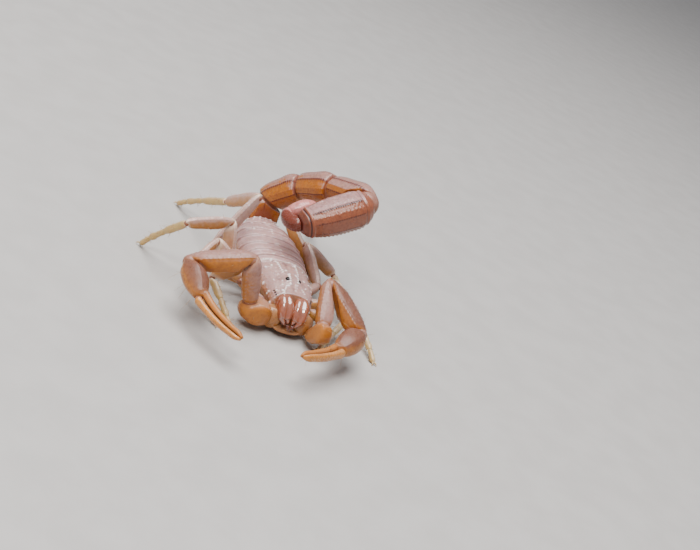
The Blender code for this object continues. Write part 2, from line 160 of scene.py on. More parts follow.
# width, power in watts, colour, place, all in metres
LIGHTS = {
    "sky": (0.26, 1.7, (1.0, 0.98, 0.97), (-0.05, 0.02, 0.31)),
    "key": (0.08, 0.42, (1.0, 0.98, 0.95), (-0.10, -0.13, 0.20)),
}
for label, (width, power, colour, place) in LIGHTS.items():
    light = bpy.data.lights.new(label, "AREA")
    light.shape, light.size, light.energy, light.color = "DISK", width, power, colour
    lamp = bpy.data.objects.new(label, light)
    lamp.location = place
    lamp.rotation_mode = "QUATERNION"
    lamp.rotation_quaternion = Vector(place).to_track_quat("Z", "Y")
    bpy.context.collection.objects.link(lamp)
world = bpy.data.worlds.new("studio")
bpy.context.scene.world = world
world.use_nodes = True
world.node_tree.nodes["Background"].inputs["Color"].default_value = (0.86, 0.88, 0.94, 1)
world.node_tree.nodes["Background"].inputs["Strength"].default_value = 0.36

CAMERA_TARGET = Vector((0.006374, -0.007038, 0.00714))
CAMERA_DISTANCE = 0.1269
turn, rise, roll = radians(-26), radians(22), radians(27)
back = Vector((sin(turn) * cos(rise), -cos(turn) * cos(rise), sin(rise)))
camera = bpy.data.objects.new("camera", bpy.data.cameras.new("camera"))
camera.data.lens, camera.data.sensor_width = 68.04, 36.0
camera.data.clip_start, camera.data.clip_end = 0.005, 10.0
camera.location = CAMERA_TARGET + back * CAMERA_DISTANCE
camera.rotation_mode = "QUATERNION"
camera.rotation_quaternion = (-back).to_track_quat("-Z", "Y") @ Quaternion((0, 0, 1), roll)
bpy.context.collection.objects.link(camera)
bpy.context.scene.camera = camera

# --- Soft skin of the trunk ------------
# The pale, folded skin that joins the back plates to the belly plates and shows as a thin line
# along each flank. It is one bag under all the plates, and it carries no plate itself.

CARAPACE = 0.0054  # length of the head shield, in metres
MIDDLE = Vector((0.3214, -1.5199, 0.0))  # brings the origin under the middle of the animal
GAP = 0.018  # clear space between neighbouring plates
MARKS = ("lift", "keel", "grain", "edge")
UP = Vector((0, 0, 1))
SQUARENESS = 2.4  # 2 is an oval ring, and more is a squarer one


def ramp(value, reach):
    """0 up to zero, 1 past the reach, and a straight rise between them."""
    return min(max(value / reach, 0.0), 1.0)


class Curve:
    """A smooth curve through a few knots."""

    def __init__(self, *knots):
        self.x, self.y = (list(column) for column in zip(*knots))
        self.slope = [float(value) for value in np.gradient(self.y, self.x)]

    def __call__(self, at):
        i = min(max(bisect_right(self.x, at) - 1, 0), len(self.x) - 2)
        step = self.x[i + 1] - self.x[i]
        t = ramp(at - self.x[i], step)
        return (self.y[i] * (1 + 2 * t) * (1 - t) ** 2 + self.y[i + 1] * t * t * (3 - 2 * t)
                + step * t * (1 - t) * (self.slope[i] * (1 - t) - self.slope[i + 1] * t))


def steps(start, end, count):
    """Evenly spaced values from start to end."""
    return [start + (end - start) * i / count for i in range(count + 1)]


def distinct(items):
    """Each item once, in the order given, so that every run makes the same mesh."""
    return list(dict.fromkeys(items))


def loft(bm, rings, sides, squareness=SQUARENESS, relief=None):
    """A closed skin over a row of rings. Each is a centre, two directions across, a half width, and
    the heights above and below the centre. relief takes a spot, its angle round the ring in degrees
    (0 across, 90 up) and its share of the way along. It gives how far the spot stands out, and how
    much of a dark keel and of a bright grain it is."""
    layers = {mark: bm.verts.layers.float.get(mark) or bm.verts.layers.float.new(mark) for mark in MARKS}
    loops = []
    for number, (centre, across, up, half_width, above, below) in enumerate(rings):
        loop = bmesh.ops.create_circle(bm, segments=sides, radius=1.0)["verts"]
        for i, vert in enumerate(loop):
            c, s = vert.co.x, vert.co.y
            u, v = copysign(abs(c) ** (2 / squareness), c), copysign(abs(s) ** (2 / squareness), s)
            high = above if v > 0 else below
            vert.co = centre + across * half_width * u + up * high * v
            if relief:
                power = squareness - 1
                out = (across * copysign(abs(u) ** power, u) / max(half_width, 0.01)
                       + up * copysign(abs(v) ** power, v) / max(high, 0.01)).normalized()
                angle = np.degrees(np.arctan2(s, c)) % 360
                height, keel, grain = relief(vert.co.copy(), angle, number / (len(rings) - 1))
                vert.co += out * height
                vert[layers["keel"]], vert[layers["grain"]] = keel, grain
        loops.append(distinct(edge for vert in loop for edge in vert.link_edges))
    verts = distinct(vert for loop in loops for edge in loop for vert in edge.verts)
    for one, other in zip(loops, loops[1:]):
        bmesh.ops.bridge_loops(bm, edges=one + other)
    for edges in (loops[0], loops[-1]):
        bmesh.ops.edgeloop_fill(bm, edges=edges)
    return verts


def fit(name, bm, material, slot, *nodes, lean=0.0, sky=UP, calm=0):
    """Bring a piece to real size and place, note how far each spot faces the sky, and hand it over.
    That note sets the crest colour of the upper faces, which is partly the cuticle's own pinker tone
    and partly a painted reflection of the sky. A positive lean brings that colour further down the
    sides, and calm rounds of averaging even it out."""
    bmesh.ops.translate(bm, vec=MIDDLE, verts=bm.verts)
    for vert in bm.verts:
        vert.co.z = max(vert.co.z, 0.0)  # what reaches the floor lies flat on it
    bmesh.ops.scale(bm, vec=(CARAPACE,) * 3, verts=bm.verts)
    bmesh.ops.recalc_face_normals(bm, faces=bm.faces)
    bm.normal_update()
    lift = bm.verts.layers.float.get("lift") or bm.verts.layers.float.new("lift")
    facing = {vert: vert.normal.dot(sky) + lean for vert in bm.verts}
    for _ in range(calm):
        facing = {vert: sum(facing[edge.other_vert(vert)] for edge in vert.link_edges)
                  / len(vert.link_edges) for vert in bm.verts}
    for vert, value in facing.items():
        vert[lift] = value
    mesh = bpy.data.meshes.new(name)
    bm.to_mesh(mesh)
    bm.free()
    mesh.shade_smooth()
    mesh.materials.append(material)
    piece = bpy.data.objects.new(name, mesh)
    bpy.context.collection.objects.link(piece)
    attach(piece, "root")
    if nodes:
        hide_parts(*nodes)


def chitin(name, side, crest, keel, grain, edge, pits=0.00012, depth=0.000008, flecks=0.0,
           tone_and_sheen_span=(0.0, 0.75), **constants):
    """Hard, waxy, slightly see-through cuticle. Its colour runs from side to crest as the surface turns
    to the sky, between two limits: the crest colour is partly the upper cuticle's own pinker tone and
    partly a painted reflection of the sky. It has a dark colour on keels, a bright one on grains, which
    is partly their paler tone and partly painted glints, and one of its own at the joints."""
    values = {"Subsurface_Weight": 0.15, "Subsurface_Radius": (0.0006, 0.00022, 0.00008),
              "Subsurface_Scale": 1.0, "Coat_Weight": 0.25, "Coat_Roughness": 0.22}
    made = Finish(name, **{**values, **constants})
    cloud = made.noise(0.0007)
    blur = (tone_and_sheen_span[1] - tone_and_sheen_span[0]) * 0.55
    # share of crest colour: partly the pinker upper cuticle, partly a painted sky reflection on faces turned
    # up
    upper = (made.mark("lift") + cloud * blur - blur / 2).step(*tone_and_sheen_span)
    colour = made.mix(upper, (*side, 1), (*crest, 1))
    colour = made.mix(made.noise(0.0003, 5).step(0.35, 0.75) * 0.35, colour, (*keel, 1))
    if flecks:
        colour = made.mix(made.noise(0.00018, 1).step(0.68, 0.74) * flecks, colour, (*keel, 1))
    colour = made.mix(made.mark("keel").step(0.15, 0.8), colour, (*keel, 1))
    colour = made.mix(made.mark("edge").step(0.1, 0.9), colour, (*edge, 1))
    colour = made.mix(made.mark("grain").step(0.2, 0.9) * 0.75, colour, (*grain, 1))
    made.feed(made.shader.inputs["Base Color"], colour)
    rough = constants.get("Roughness", 0.34)
    rough = made.noise(0.0002).step(0.2, 0.8) * 0.16 + (rough - 0.08)
    made.feed(made.shader.inputs["Roughness"], rough - made.mark("grain").step(0.4, 0.9) * 0.12)
    made.bump(made.cells(pits) * 0.7 + made.noise(pits / 3) * 0.3, depth)
    return made.material


# The trunk, as (distance behind the front margin, value)
TRUNK_FRONT, TRUNK_END = -0.30, 2.93
HALF_WIDTH = Curve((TRUNK_FRONT, 0.26), (-0.2, 0.35), (0.0, 0.37), (0.15, 0.42), (0.5, 0.49), (1.0, 0.57),
                   (1.6, 0.65), (2.2, 0.62), (2.7, 0.47), (TRUNK_END, 0.33))
TOP = Curve((0.0, 0.74), (0.4, 0.80), (1.0, 0.85), (1.7, 0.86), (2.4, 0.81), (TRUNK_END, 0.72))
SEAM = Curve((TRUNK_FRONT, 0.17), (-0.2, 0.21), (-0.1, 0.28), (0.0, 0.41), (0.12, 0.48), (0.5, 0.49),
             (1.5, 0.48), (2.4, 0.47), (TRUNK_END, 0.44))
BELLY = Curve((TRUNK_FRONT, 0.12), (-0.2, 0.11), (0.0, 0.12), (1.0, 0.19), (2.0, 0.20), (TRUNK_END, 0.24))
BEND = Curve((0.0, 0.0), (0.4, 0.0), (1.2, -0.07), (2.0, -0.08), (TRUNK_END, 0.0))
SKIN_SHARE = 0.90  # the skin's width and height, in shares of the plates'


def folds(spot, angle, along):
    """Fine lengthwise pleats along the flanks, with a wrinkle here and there."""
    flank = max(abs(cos(radians(angle))) - 0.4, 0.0)
    return flank * 0.012 * sin(radians(angle) * 36) + 0.006 * noise.noise(spot * 14), 0.0, 0.0


bm = bmesh.new()
rings = []
for y in steps(0.06, TRUNK_END - 0.03, 90):
    wide, seam = HALF_WIDTH(y) * SKIN_SHARE, SEAM(y)
    rings.append((Vector((BEND(y), y, seam)), Vector((1, 0, 0)), UP, wide, (TOP(y) - seam) * SKIN_SHARE,
                  (seam - BELLY(y)) * SKIN_SHARE))
loft(bm, rings, 96, relief=folds)
soft_skin = chitin("soft_skin", (0.52, 0.30, 0.16), (0.58, 0.40, 0.32), (0.36, 0.17, 0.08), (0.7, 0.5, 0.4),
                   (0.3, 0.1, 0.05), Roughness=0.48)
fit("trunk_skin", bm, soft_skin, "shell_under")

# --- Head shield ------------
# One hard plate over the head and the first legs. It is moulded with a low hill that carries the
# eyes, grooves before and behind it, beaded ridges over the eyes and down the back, and it is
# strewn with fine waxy granules. The near-white tops of granules and ridges are partly painted
# glints, and the grooves and the hollows at the sides are painted darker as shade.

EYE_RADIUS, EYE_X, EYE_Y = 0.055, 0.10, 0.40


def hill(value, width):
    """1 at zero, falling away on both sides to nothing at about twice the width."""
    return exp(-(value / width) ** 2)


def granules(spot, size, share):
    """Round granules scattered over a share of a surface: 0 between them and 1 at their tops."""
    distances, places = noise.voronoi(spot / size)
    if noise.cell(places[0] * 3.7 + Vector((0.5, 0.5, 0.5))) > share * 2 - 1:
        return 0.0
    return max(0.0, 1 - (distances[0] / 0.42) ** 2)


def beads(along, spacing):
    """A row of beads along a ridge: 0 between them and 1 at their tops."""
    return 0.5 + 0.5 * cos(2 * pi * along / spacing)


def shield_relief(spot, angle, along):
    if spot.z < SEAM(spot.y) + 0.01:
        return 0.0, 0.0, 0.0
    x, y = spot.x - BEND(spot.y), spot.y
    side = abs(x)
    crest = hill(side - 0.055 - 0.09 * max(0.3 - abs(y - 0.42), 0), 0.022) * hill(y - 0.42, 0.17)
    ridge_x = 0.13 + 0.12 * (y - 0.45) if y > 0.45 else 0.13
    ridge = hill(side - ridge_x, 0.018) * ramp(y - 0.5, 0.1) * ramp(0.97 - y, 0.05)
    front = hill(side - 0.22 + 0.3 * y, 0.02) * hill(y - 0.16, 0.12)
    rim = hill(y - 0.975, 0.02) + 0.6 * hill(y - 0.012, 0.02)
    height = 0.045 * hill(x, 0.12) * hill(y - 0.42, 0.13)
    height -= 0.022 * hill(x, 0.035) * (hill(y - 0.18, 0.12) + hill(y - 0.80, 0.16))
    height -= 0.020 * hill(side - 0.27, 0.05) * hill(y - 0.50, 0.16) + 0.014 * hill(y - 0.92, 0.03)
    height -= 0.012 * hill(side - 0.2, 0.12) * hill(y - 0.22, 0.06)
    row = 0.034 * (crest + 0.8 * ridge + 0.8 * front) * (0.3 + 0.7 * beads(y, 0.055)) + 0.014 * rim
    thick = 0.45 + 0.55 * hill(side - 0.3, 0.25) - 0.25 * hill(y - 0.1, 0.08)
    fine = granules(spot, 0.050, 0.85 * thick) * 0.012
    fine += granules(spot + Vector((3, 1, 2)), 0.085, 0.36) * 0.024
    bright = min(1.0, 36 * fine + 42 * row)
    # Painted shade darkens the grooves and the hollows at the sides; a patch round each eye, a streak beside
    # the eye hill and a random mottle are darker too.
    dark = 0.22 * hill(y - 0.92, 0.02) + 0.30 * hill(side - 0.24, 0.05) * hill(y - 0.42, 0.14)
    dark += 0.5 * hill(side - EYE_X, 0.075) * hill(y - EYE_Y, 0.075) * (bright < 0.3)
    dark += 0.35 * hill(x, 0.05) * (hill(y - 0.18, 0.14) + hill(y - 0.80, 0.16))
    dark += 0.5 * max(noise.noise(spot * 7), 0.0) + 0.3 * hill(side - 0.19, 0.03) * hill(y - 0.35, 0.15)
    return 1.3 * height + row + fine, dark, bright


BELLY_SHARE = 0.86  # width of the underside, in shares of the back's


def trunk_ring(y, share=1.0, upper=True):
    """A section of the trunk's upper plates, or of its underside."""
    seam, width = SEAM(y), HALF_WIDTH(y)
    if upper:
        centre, above, below = seam + GAP / 2, (TOP(y) - seam) * share, GAP / 4
    else:
        width *= BELLY_SHARE
        centre, above, below = seam - GAP / 2, GAP / 4, (seam - BELLY(y)) * share
    return (Vector((BEND(y), y, centre)), Vector((1, 0, 0)), UP, width * share, above, below)


def shell(name, crest):
    """The cuticle of the head shield and the back plates, which differ only in their upper faces."""
    # Its near-white grain colour is partly the granules' pale tone and partly painted glints.
    return chitin(name, (0.44, 0.19, 0.08), crest, (0.22, 0.11, 0.10), (0.95, 0.90, 0.88),
                  (0.60, 0.40, 0.34), tone_and_sheen_span=(-0.1, 0.6), Roughness=0.38)


shell_top = shell("shell_top", (0.45, 0.27, 0.245))
bm = bmesh.new()
rings = [trunk_ring(0.0, share) for share in (0.80, 0.92, 0.98)]
rings += [trunk_ring(y) for y in steps(0.008, 0.985, 130)]
rings += [trunk_ring(0.992, share) for share in (0.97, 0.90)]
loft(bm, rings, 150, relief=shield_relief)
fit("head_shield", bm, shell_top, "shell_top", "carapace")

# --- Eyes ------------
# Two large black eyes side by side on the hill, and three small ones in a row at each front corner
# of the shield. Each is a clear, glossy dome of cuticle.

SMALL_EYE_RADIUS = 0.017
SMALL_EYES = ((0.045, 0.0), (0.095, 0.004), (0.14, 0.01))  # distance behind the front, depth sunk in
SMALL_EYE_X = 0.86  # in shares of the shield's half width there
SIDES = {1: "left", -1: "right"}
eye_black = mottled("eye_black", 0.00004, (0.006, 0.005, 0.006), (0.03, 0.022, 0.02), 0.00003, 0.000001,
                    Roughness=0.08, Specular_IOR_Level=0.3)


def eye(bm, side, centre, radius):
    """A dome that looks up and outwards."""
    turned = Vector((side, 0, 1)).to_track_quat("Z", "Y").to_matrix().to_4x4()
    bmesh.ops.create_uvsphere(bm, u_segments=32, v_segments=16, radius=radius,
                              matrix=Matrix.Translation(centre) @ turned)


for side, label in SIDES.items():
    bm = bmesh.new()
    eye(bm, side, Vector((side * EYE_X, EYE_Y, TOP(EYE_Y) + 0.006)), EYE_RADIUS)
    fit(f"large_eye_{label}", bm, eye_black, "eye_black", f"median_eye_{label}")
    bm = bmesh.new()
    for y, sink in SMALL_EYES:
        seam = SEAM(y)
        up = (TOP(y) - seam) * (1 - SMALL_EYE_X ** SQUARENESS) ** (1 / SQUARENESS)
        centre = Vector((side * HALF_WIDTH(y) * SMALL_EYE_X, y, seam + GAP / 2 + up - sink))
        eye(bm, side, centre, SMALL_EYE_RADIUS)
    fit(f"small_eyes_{label}", bm, eye_black, "eye_black")

# --- Back plates ------------
# Seven plates, each sliding under the one before it like a roof tile. The rear edge of each is a
# raised, paler, beaded rim; a beaded keel runs down the middle and the last plate has five.

TERGITES = (0.15, 0.20, 0.25, 0.29, 0.32, 0.34, 0.38)
KEELS = ((0.0, 1.0), (0.30, 0.5))  # place across in shares of the half width, and strength
LAST_KEELS = ((0.0, 0.9), (0.32, 1.2), (0.62, 1.2))
shell_back = shell("shell_back", (0.51, 0.315, 0.300))


def plate_relief(start, length, keels):
    """Beaded keels, a raised rear rim and granules that grow thicker towards it."""
    def relief(spot, angle, along):
        if spot.z < SEAM(spot.y) + 0.01:
            return 0.0, 0.0, 0.0
        x, share = spot.x - BEND(spot.y), (spot.y - start) / length
        row = 0.0
        for place, strength in keels:
            row += strength * hill(abs(x) - place * HALF_WIDTH(spot.y), 0.018) * beads(spot.y, 0.05)
        row *= 0.018 * ramp(share - 0.25, 0.2)
        rim = hill(share - 0.95, 0.06)
        fine = granules(spot, 0.045, 0.50 * ramp(share - 0.35, 0.3) + 0.15) * 0.008
        fine += granules(spot + Vector((5, 2, 1)), 0.08, 0.20) * 0.013
        height = row + fine + 0.012 * rim - 0.012 * hill(share - 0.72, 0.10) + 0.004 * noise.noise(spot * 9)
        return height, 0.6 * hill(share - 0.84, 0.05), min(1.0, 45 * fine + 30 * row + 0.35 * rim)
    return relief


start = 1.0
for number, length in enumerate(TERGITES, 1):
    bm = bmesh.new()
    rings = []
    for share in steps(-0.12 if number > 1 else 0.0, 0.985, 44):
        tuck = 0.955 + 0.045 * ramp(share + 0.05, 0.35)
        rings.append(trunk_ring(start + length * share, tuck + 0.028 * hill(share - 0.93, 0.14)))
    y = start + length
    rings += [trunk_ring(y - GAP * 0.2, 0.99), trunk_ring(y - GAP * 0.3, 0.95)]
    keels = KEELS if number < len(TERGITES) else LAST_KEELS
    loft(bm, rings, 130, relief=plate_relief(start, length, keels))
    fit(f"back_plate_{number}", bm, shell_back, "shell_top", f"tergite_{number}")
    start += length

# --- Belly ------------
# Under the head the broad inner joints of the legs meet at a small breastbone. Behind them come five
# smooth amber plates, four of them with a slit-like breathing hole on each side.

STERNITES = (0.30, 0.32, 0.33, 0.33, 0.36)
shell_under = chitin("shell_under", (0.36, 0.14, 0.03), (0.38, 0.18, 0.08), (0.16, 0.05, 0.02),
                     (0.66, 0.44, 0.26), (0.34, 0.13, 0.05), Roughness=0.30)


class Segment:
    """A straight stretch of a limb: its root, its axis and the two directions across it."""

    def __init__(self, root, side, length, yaw, pitch):
        yaw, pitch = radians(yaw), radians(pitch)
        out = Vector((side * sin(yaw), -cos(yaw), 0))
        self.root, self.length, self.side = Vector(root), length, side
        self.axis = out * cos(pitch) + UP * sin(pitch)
        self.up = UP * cos(pitch) - out * sin(pitch)
        self.front = self.axis.cross(self.up) * side

    def face(self, direction):
        """Turn the segment about its axis until its upper side faces a direction."""
        self.up = (direction - self.axis * direction.dot(self.axis)).normalized()
        self.front = self.axis.cross(self.up) * self.side

    def turn(self, angle):
        """Turn the segment about its axis, front side upwards."""
        self.face(self.up * cos(radians(angle)) - self.front * sin(radians(angle)))

    def at(self, along, front=0.0, up=0.0):
        """A point: a share of the length along, and distances to the front and up."""
        return self.root + self.axis * along * self.length + self.front * front + self.up * up

    def ring(self, along, width, height, front=0.0):
        """A section of the given width and height, square to the axis."""
        return (self.at(along, front), self.front, self.up, width / 2, height / 2, height / 2)


def coxa_relief(spot, angle, along):
    """Grooves between the inner joints of the legs, fanning out from the breastbone."""
    side, groove = abs(spot.x - BEND(spot.y)), 0.0
    for front, reach in ((-0.02, 0.10), (0.30, 0.10), (0.56, 0.16), (0.82, 0.30)):
        groove += hill(spot.y - front - reach * (side / 0.4), 0.018) * min(1.0, side / 0.06)
    groove += hill(side, 0.012) * (spot.y < 0.35)
    groove += hill(spot.y - 1.06, 0.012) * (side < 0.2) + hill(side, 0.01) * (1.06 < spot.y < 1.2)
    under = 1.0 if spot.z < SEAM(spot.y) - 0.08 else 0.0
    return (-0.025 * groove * under + 0.003 * noise.noise(spot * 12), 0.7 * groove * under,
            0.5 * granules(spot, 0.06, 0.12) * under)


bm = bmesh.new()
rear = TRUNK_END - sum(STERNITES) - GAP / 2
rings = [trunk_ring(TRUNK_FRONT, share, False) for share in (0.75, 0.93)]
rings += [trunk_ring(y, 1, False) for y in steps(TRUNK_FRONT + 0.01, rear - 0.01, 130)]
loft(bm, rings + [trunk_ring(rear, 0.95, False)], 110, relief=coxa_relief)
for side in SIDES:  # the inner joints of the pincer arms, which make the sides of the mouth
    lobe = Segment((side * 0.20, 0.22, 0.28), side, 0.46, 18, 0)
    wide = Curve((-0.1, 0.6), (0.3, 0.95), (0.7, 1.0), (1.0, 0.72), (1.08, 0.3))
    high = Curve((-0.1, 0.6), (0.3, 0.9), (0.7, 1.0), (1.0, 0.75), (1.08, 0.3))
    loft(bm, [lobe.ring(along, 0.36 * wide(along), 0.38 * high(along)) for along in steps(-0.1, 1.08, 40)],
         48, relief=coxa_relief)
fit("breast", bm, shell_under, "shell_under", "coxosternum")


def belly_relief(start, length, slit):
    """A low rear rim, and a slanting slit on each side where the plate has breathing holes."""
    def relief(spot, angle, along):
        side, share = abs(spot.x - BEND(spot.y)), (spot.y - start) / length
        hole = slit * hill((share - 0.5 - 0.25 * (side / 0.3 - 1)) * length, 0.014) * hill(side - 0.30, 0.06)
        rim = hill(share - 0.95, 0.05)
        return 0.008 * rim - 0.03 * hole, max(hole, 0.3 * hill(share - 0.85, 0.04)), 0.4 * rim
    return relief


start = TRUNK_END - sum(STERNITES)
for number, length in enumerate(STERNITES, 3):
    bm = bmesh.new()
    rings = [trunk_ring(start + length * share, 0.96 + 0.04 * ramp(share + 0.05, 0.3), False)
             for share in steps(-0.08, 0.985, 36)]
    rings += [trunk_ring(start + length - GAP * 0.3, 0.95, False)]
    loft(bm, rings, 96, relief=belly_relief(start, length, 1.0 if number < 7 else 0.0))
    fit(f"belly_plate_{number}", bm, shell_under, "shell_under", f"sternite_{number}")
    start += length

# --- Combs ------------
# A pair of sense organs like combs, hinged behind the breastbone. Each is a jointed spine with a row
# of small beads along it and a row of blunt, tongue-shaped teeth behind.


def tongue(bm, root, axis, up, length, width, thick, sides=10, curl=0.0, tip=0.3):
    """A blunt, tapered piece that grows along an axis and may curl towards up by some degrees."""
    across = axis.cross(up)
    rings = []
    for share in (0.0, 0.15, 0.4, 0.7, 0.9, 1.0):
        size = (1 - (1 - tip) * share ** 1.6) * (1.0 if share < 0.95 else 0.6)
        turn = radians(curl) * share
        reach = length * (sin(turn) / radians(curl) if curl else share)
        lift = length * ((1 - cos(turn)) / radians(curl) if curl else 0.0)
        heading = up * cos(turn) - axis * sin(turn)
        rings.append((root + axis * reach + up * lift, across, heading, width / 2 * size,
                      thick / 2 * size, thick / 2 * size))
    return loft(bm, rings, sides, 2.0)


COMB_LENGTH, COMB_TAPER, COMB_TEETH = 0.62, 0.35, 17
for side, label in SIDES.items():
    bm = bmesh.new()
    comb = Segment((side * 0.09, 1.22, 0.085), side, COMB_LENGTH, 118, 0)
    loft(bm, [comb.ring(along, 0.10 * (1 - COMB_TAPER * along), 0.05, -0.04)
              for along in (0.0, 0.03, 0.3, 0.33, 0.36, 0.65, 0.68, 0.71, 0.97, 1.0)], 16)
    for i in range(COMB_TEETH):
        along = (i + 0.7) / (COMB_TEETH + 0.6)
        tongue(bm, comb.at(along, -0.06), -comb.front, comb.up, 0.11 * (1 - COMB_TAPER * along), 0.036,
               0.03, tip=0.6)
        bmesh.ops.create_icosphere(bm, subdivisions=2, radius=0.016,
                                   matrix=Matrix.Translation(comb.at(along, -0.085)))
    fit(f"comb_{label}", bm, shell_under, "shell_under", f"pectine_{label}")

# --- Mouthparts ------------
# Two stout nippers side by side under the front edge, as glossy as beads. Each is a swollen hand with
# a fixed finger and a moving finger with two dark teeth, and a brush of fine hair between them.

mouth_red = chitin("mouth_red", (0.30, 0.070, 0.024), (0.36, 0.120, 0.068), (0.12, 0.025, 0.01),
                   (0.72, 0.45, 0.32), (0.24, 0.06, 0.03), depth=0.000002, Roughness=0.16,
                   Coat_Weight=1.0, Coat_Roughness=0.04, Coat_IOR=2.1)
tooth_dark = mottled("tooth_dark", 0.0001, (0.07, 0.012, 0.008), (0.16, 0.04, 0.02), 0.00005, 0.000003,
                     Roughness=0.22, Coat_Weight=0.6, Coat_Roughness=0.1)
NIPPER = (0.43, 0.30, 0.30)  # length, width and height of the hand
NIPPER_WIDE = Curve((-0.2, 0.75), (0.1, 0.98), (0.45, 1.03), (0.7, 0.92), (0.86, 0.68))
NIPPER_HIGH = Curve((-0.2, 0.64), (0.10, 1.0), (0.36, 1.05), (0.62, 0.82), (0.86, 0.48))
# place towards the middle, lean towards it, length
NIPPER_FINGERS = ((-0.080, 0.85, 0.18), (0.055, 0.30, 0.12))


def nipper_relief(spot, angle, along):
    """A shallow channel down the top of the hand, painted darker there as shade, and a few blunt beads
    beside it.
    """
    fine = granules(spot, 0.075, 0.20) * (0.3 if angle < 180 else 0.0)
    channel = hill(angle - 90, 12) * ramp(along, 0.3)
    return 0.015 * fine - 0.030 * channel + 0.004 * noise.noise(spot * 8), 0.3 * channel, 0.6 * fine


for side, label in SIDES.items():
    length, width, height = NIPPER
    hand = Segment((side * 0.16, 0, 0.60), side, length, -7, -38)
    bm = bmesh.new()
    rings = [hand.ring(along, width * NIPPER_WIDE(along), height * NIPPER_HIGH(along))
             for along in steps(-0.2, 0.84, 30)]
    rings += [hand.ring(0.865, width * 0.56, height * 0.42), hand.ring(0.875, width * 0.3, height * 0.22)]
    loft(bm, rings, 56, relief=nipper_relief)
    inward = hand.front * (1 if hand.front.x * side < 0 else -1)
    for place, lean, long in NIPPER_FINGERS:
        aim = (hand.axis + inward * lean - hand.up * 0.1).normalized()
        tongue(bm, hand.at(0.74) + inward * place, aim, -hand.up, long, 0.115, 0.13, 20, 30, 0.16)
    fit(f"nipper_{label}", bm, mouth_red, "mouth_red", f"chelicera_{label}")
    bm = bmesh.new()
    aim = (hand.axis + inward * 0.4).normalized()
    for place in (-0.04, 0.0, 0.03):
        tongue(bm, hand.at(0.90, 0, -0.05) + inward * place, aim, hand.up, 0.07, 0.035, 0.035)
    for place, lean in ((0.055, 0.75), (0.085, 0.25)):
        aim = (hand.axis + inward * lean - hand.up * 0.3).normalized()
        tongue(bm, hand.at(1.08, 0, -0.02) + inward * place, aim, -hand.up, 0.09, 0.05, 0.05, 12, 50, 0.15)
    fit(f"nipper_teeth_{label}", bm, tooth_dark, "mouth_red")

# --- Pincer arms ------------
# Each arm is a short rounded joint, two long keeled ones and a slim hand, whose fixed finger is one
# piece with it. The other finger swings against it, and both carry a row of dark beads inside, set
# in a broad dark band that is painted shade where the fingers meet.

ARM_ROOT = (0.34, -0.14, 0.25)
ARM = {  # length, width, height
    "trochanter": (0.48, 0.44, 0.46), "femur": (0.92, 0.34, 0.32), "patella": (1.05, 0.38, 0.36),
    "palm": (0.74, 0.44, 0.42), "finger": (1.08, 0.11, 0.145),
}
ARM_POSE = {  # yaw and pitch of each joint, from the root to the finger
    -1: ((83, 18), (88, 70), (96, -23), (-15, -17), (-34, -5)),
    1: ((22, 27), (172, 37.5), (34, -21), (-43, -10), (-54, 3)),
}
SHOULDER = 0.12  # where the femur leaves the trochanter
HAND_TURN = {-1: 45, 1: 0}  # how far a hand's front side is raised
# profile, squareness, ridges, and how far the crest colour, partly a painted sky reflection, leans
# down on the right and the left arm
ARM_SHELLS = {
    "trochanter": (((-0.2, 0.4, 0.4), (0.1, 0.65, 0.65), (0.5, 1, 1), (0.9, 1, 0.98), (1.2, 0.8, 0.8),
                    (1.35, 0.4, 0.4)), 3.0, ((50, 0.014), (130, 0.014)), (-0.3, -0.4)),
    "femur": (((-0.15, 0.6, 0.65), (0.0, 0.72, 0.75), (0.2, 0.85, 0.9), (0.7, 1, 1), (1.0, 0.85, 0.85),
               (1.12, 0.5, 0.5)), SQUARENESS, ((45, 0.018), (135, 0.018), (225, 0.014), (315, 0.014)),
              (0.7, 0.3)),
    "patella": (((-0.12, 0.4, 0.4), (0.0, 0.62, 0.7), (0.2, 0.95, 0.95), (0.55, 1, 1), (0.9, 0.8, 0.85),
                 (1.1, 0.45, 0.5)), SQUARENESS,
                ((42, 0.018), (138, 0.016), (88, 0.008), (222, 0.014), (318, 0.014)), (0.15, 0.0)),
}
ARM_EDGE = 0.5  # strength of the joint colour at the cut ends
HAND_WIDE = Curve((-0.12, 0.3), (0.0, 0.5), (0.22, 0.92), (0.45, 1.0), (0.72, 0.86), (0.93, 0.58))
HAND_HIGH = Curve((-0.12, 0.35), (0.0, 0.6), (0.22, 0.95), (0.45, 1.0), (0.72, 0.86), (0.93, 0.62))
FINGER_WIDE = Curve((0.04, 1.25), (0.25, 1.05), (0.5, 0.95), (0.75, 0.8), (0.93, 0.65), (1.0, 0.35))
FINGER_HIGH = Curve((0.04, 1.2), (0.25, 1.1), (0.5, 1.1), (0.75, 1.0), (0.93, 0.8), (1.0, 0.4))
FINGER_BOW = 0.05
FINGER_SPREAD = ARM["finger"][1] / 2 + GAP / 2
FINGER_AMBER = 0.7  # share of the clear amber on the hand's own finger
arm_amber = chitin("arm_amber", (0.46, 0.16, 0.022), (0.38, 0.210, 0.175), (0.16, 0.05, 0.03),
                   (0.58, 0.38, 0.29), (0.44, 0.20, 0.09), tone_and_sheen_span=(0.35, 0.85), Roughness=0.34,
                   Coat_Weight=0.1, Specular_IOR_Level=0.3)
finger_amber = chitin("finger_amber", (0.64, 0.25, 0.04), (0.58, 0.26, 0.09), (0.10, 0.02, 0.008),
                      (0.70, 0.42, 0.24), (0.42, 0.16, 0.06), pits=0.00008, depth=0.000004,
                      tone_and_sheen_span=(0.5, 1.0), Roughness=0.28)
hand_amber = chitin("hand_amber", (0.50, 0.18, 0.032), (0.21, 0.090, 0.058), (0.10, 0.022, 0.012),
                    (0.66, 0.46, 0.38), (0.52, 0.20, 0.045), tone_and_sheen_span=(0.0, 0.75), Roughness=0.32,
                    Coat_Weight=0.1, Specular_IOR_Level=0.3)
